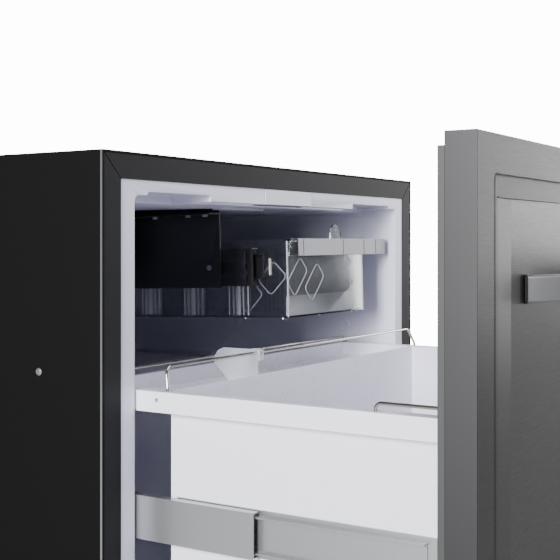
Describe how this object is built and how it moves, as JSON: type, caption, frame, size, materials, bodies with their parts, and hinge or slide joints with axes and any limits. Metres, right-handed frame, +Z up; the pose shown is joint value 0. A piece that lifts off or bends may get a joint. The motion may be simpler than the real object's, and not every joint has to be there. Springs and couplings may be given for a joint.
{
  "type": "under-counter freezer drawer with ice maker",
  "caption": "Built-in under-counter freezer with a full-width pull-out drawer and, under its ceiling, a clear ice bin on its own slides with an automatic ice mould behind it.",
  "frame": {"origin": "on the floor, under the middle of the cabinet's front face, where the front line of the kitchen niche is", "axes": "+X to the cabinet's right seen from its front, +Y towards its back, +Z up; the drawer comes out along -Y"},
  "size_m": [0.6024, 0.9279, 0.53],
  "materials": {
    "black_sheet": "matt black powder coat",
    "galvanised": "galvanised sheet",
    "frame_grey": "satin grey",
    "foam": "cut polyurethane foam",
    "liner_white": "thermoformed, satin",
    "white_plastic": "moulded, glossy",
    "cover_white": "moulded, satin",
    "lamp_frosted": "frosted",
    "slide_black": "black e-coat",
    "screw_steel": "zinc plated",
    "clear_plastic": "clear moulded",
    "frosted_plastic": "frosted moulded",
    "mould_alloy": "cast, coated",
    "heater_sheath": "drawn tube",
    "zinc_bracket": "zinc plated",
    "cream_plastic": "moulded acetal",
    "motor_steel": "plated",
    "hose_white": "extruded",
    "coil_aluminium": "bare",
    "dark_plastic": "moulded",
    "compressor_black": "gloss black enamel",
    "rubber_black": "matt",
    "copper": "drawn copper",
    "drip_plastic": "moulded",
    "front_steel": "satin dark stainless",
    "gasket_grey": "soft extruded PVC",
    "handle_steel": "satin stainless",
    "wire_steel": "polished stainless"
  },
  "bodies": {
    "cabinet": {"outer_case": "black_sheet", "case_back": "galvanised", "case_base": "galvanised", "rubber_feet": "rubber_black", "side_screws": "screw_steel", "front_frame": "frame_grey", "foam_body": "foam", "liner": "liner_white", "wall_plugs": "white_plastic", "centre_cover": "cover_white", "lamp_lens": "lamp_frosted", "bin_bracket_left": "black_sheet", "bin_bracket_right": "black_sheet", "bracket_screws": "screw_steel", "bin_slides_outer": "slide_black", "ice_mould": "mould_alloy", "mould_heater": "heater_sheath", "mould_bracket": "zinc_bracket", "gear_housing": "white_plastic", "gear_motor": "motor_steel", "ice_chute": "white_plastic", "fill_cup": "white_plastic", "fill_tube": "hose_white", "water_valve": "white_plastic", "evaporator": "coil_aluminium", "evaporator_cover": "white_plastic", "evaporator_fan_motor": "motor_steel", "compressor": "compressor_black", "compressor_mounts": "rubber_black", "condenser": "coil_aluminium", "condenser_fan_motor": "motor_steel", "filter_drier": "copper", "refrigerant_lines": "copper", "drip_pan": "drip_plastic", "drain_tube": "hose_white", "control_box": "dark_plastic", "rear_grille": "galvanised", "drawer_slides_outer": "zinc_bracket"},
    "drawer": {"front_skin": "front_steel", "front_core": "foam", "inner_panel": "white_plastic", "gasket": "gasket_grey", "handle": "handle_steel", "drawer_box": "white_plastic", "rear_rail": "wire_steel", "tray_rail": "wire_steel", "side_rails": "wire_steel", "rail_divider": "clear_plastic", "drawer_slides_inner": "zinc_bracket"},
    "drawer_slide_mid": {"drawer_slides_middle": "zinc_bracket"},
    "bin": {"ice_bin": "clear_plastic", "bin_front_band": "frosted_plastic", "bin_front_plate": "frosted_plastic", "ice_scoop": "clear_plastic", "bin_slides_inner": "slide_black"},
    "bin_slide_mid": {"bin_slides_middle": "slide_black"},
    "rake": {"ice_rake": "cream_plastic"},
    "bail": {"bail_arm": "wire_steel"},
    "evaporator_rotor": {"evaporator_fan": "dark_plastic"},
    "condenser_rotor": {"condenser_fan": "dark_plastic"}
  },
  "joints": [
    {"name": "drawer_travel", "type": "slide", "parent": "cabinet", "child": "drawer", "axis": [0, -1, 0], "range_m": [-0.3045, 0.06]},
    {"name": "drawer_mid_travel", "type": "slide", "parent": "cabinet", "child": "drawer_slide_mid", "axis": [0, -1, 0], "range_m": [-0.15225, 0.03]},
    {"name": "bin_travel", "type": "slide", "parent": "cabinet", "child": "bin", "axis": [0, -0.9996, 0.0297], "range_m": [0, 0.18]},
    {"name": "bin_mid_travel", "type": "slide", "parent": "cabinet", "child": "bin_slide_mid", "axis": [0, -0.9996, 0.0297], "range_m": [0, 0.09]},
    {"name": "rake_turn", "type": "hinge", "parent": "cabinet", "child": "rake", "pos_m": [-0.042, 0.285, 0.466], "axis": [0, 1, 0], "continuous": true},
    {"name": "bail_lift", "type": "hinge", "parent": "cabinet", "child": "bail", "pos_m": [-0.01, 0.285, 0.473], "axis": [0, 1, 0], "range_deg": [-12, 0]},
    {"name": "evaporator_fan_spin", "type": "hinge", "parent": "cabinet", "child": "evaporator_rotor", "pos_m": [0.12, 0.4625, 0.426], "axis": [0, 1, 0], "continuous": true},
    {"name": "condenser_fan_spin", "type": "hinge", "parent": "cabinet", "child": "condenser_rotor", "pos_m": [-0.112, 0.413, 0.124], "axis": [0, 1, 0], "continuous": true}
  ],
  "couplings": [
    {"joint": "drawer_mid_travel", "follows": "drawer_travel", "ratio": 0.5},
    {"joint": "bin_mid_travel", "follows": "bin_travel", "ratio": 0.5}
  ]
}
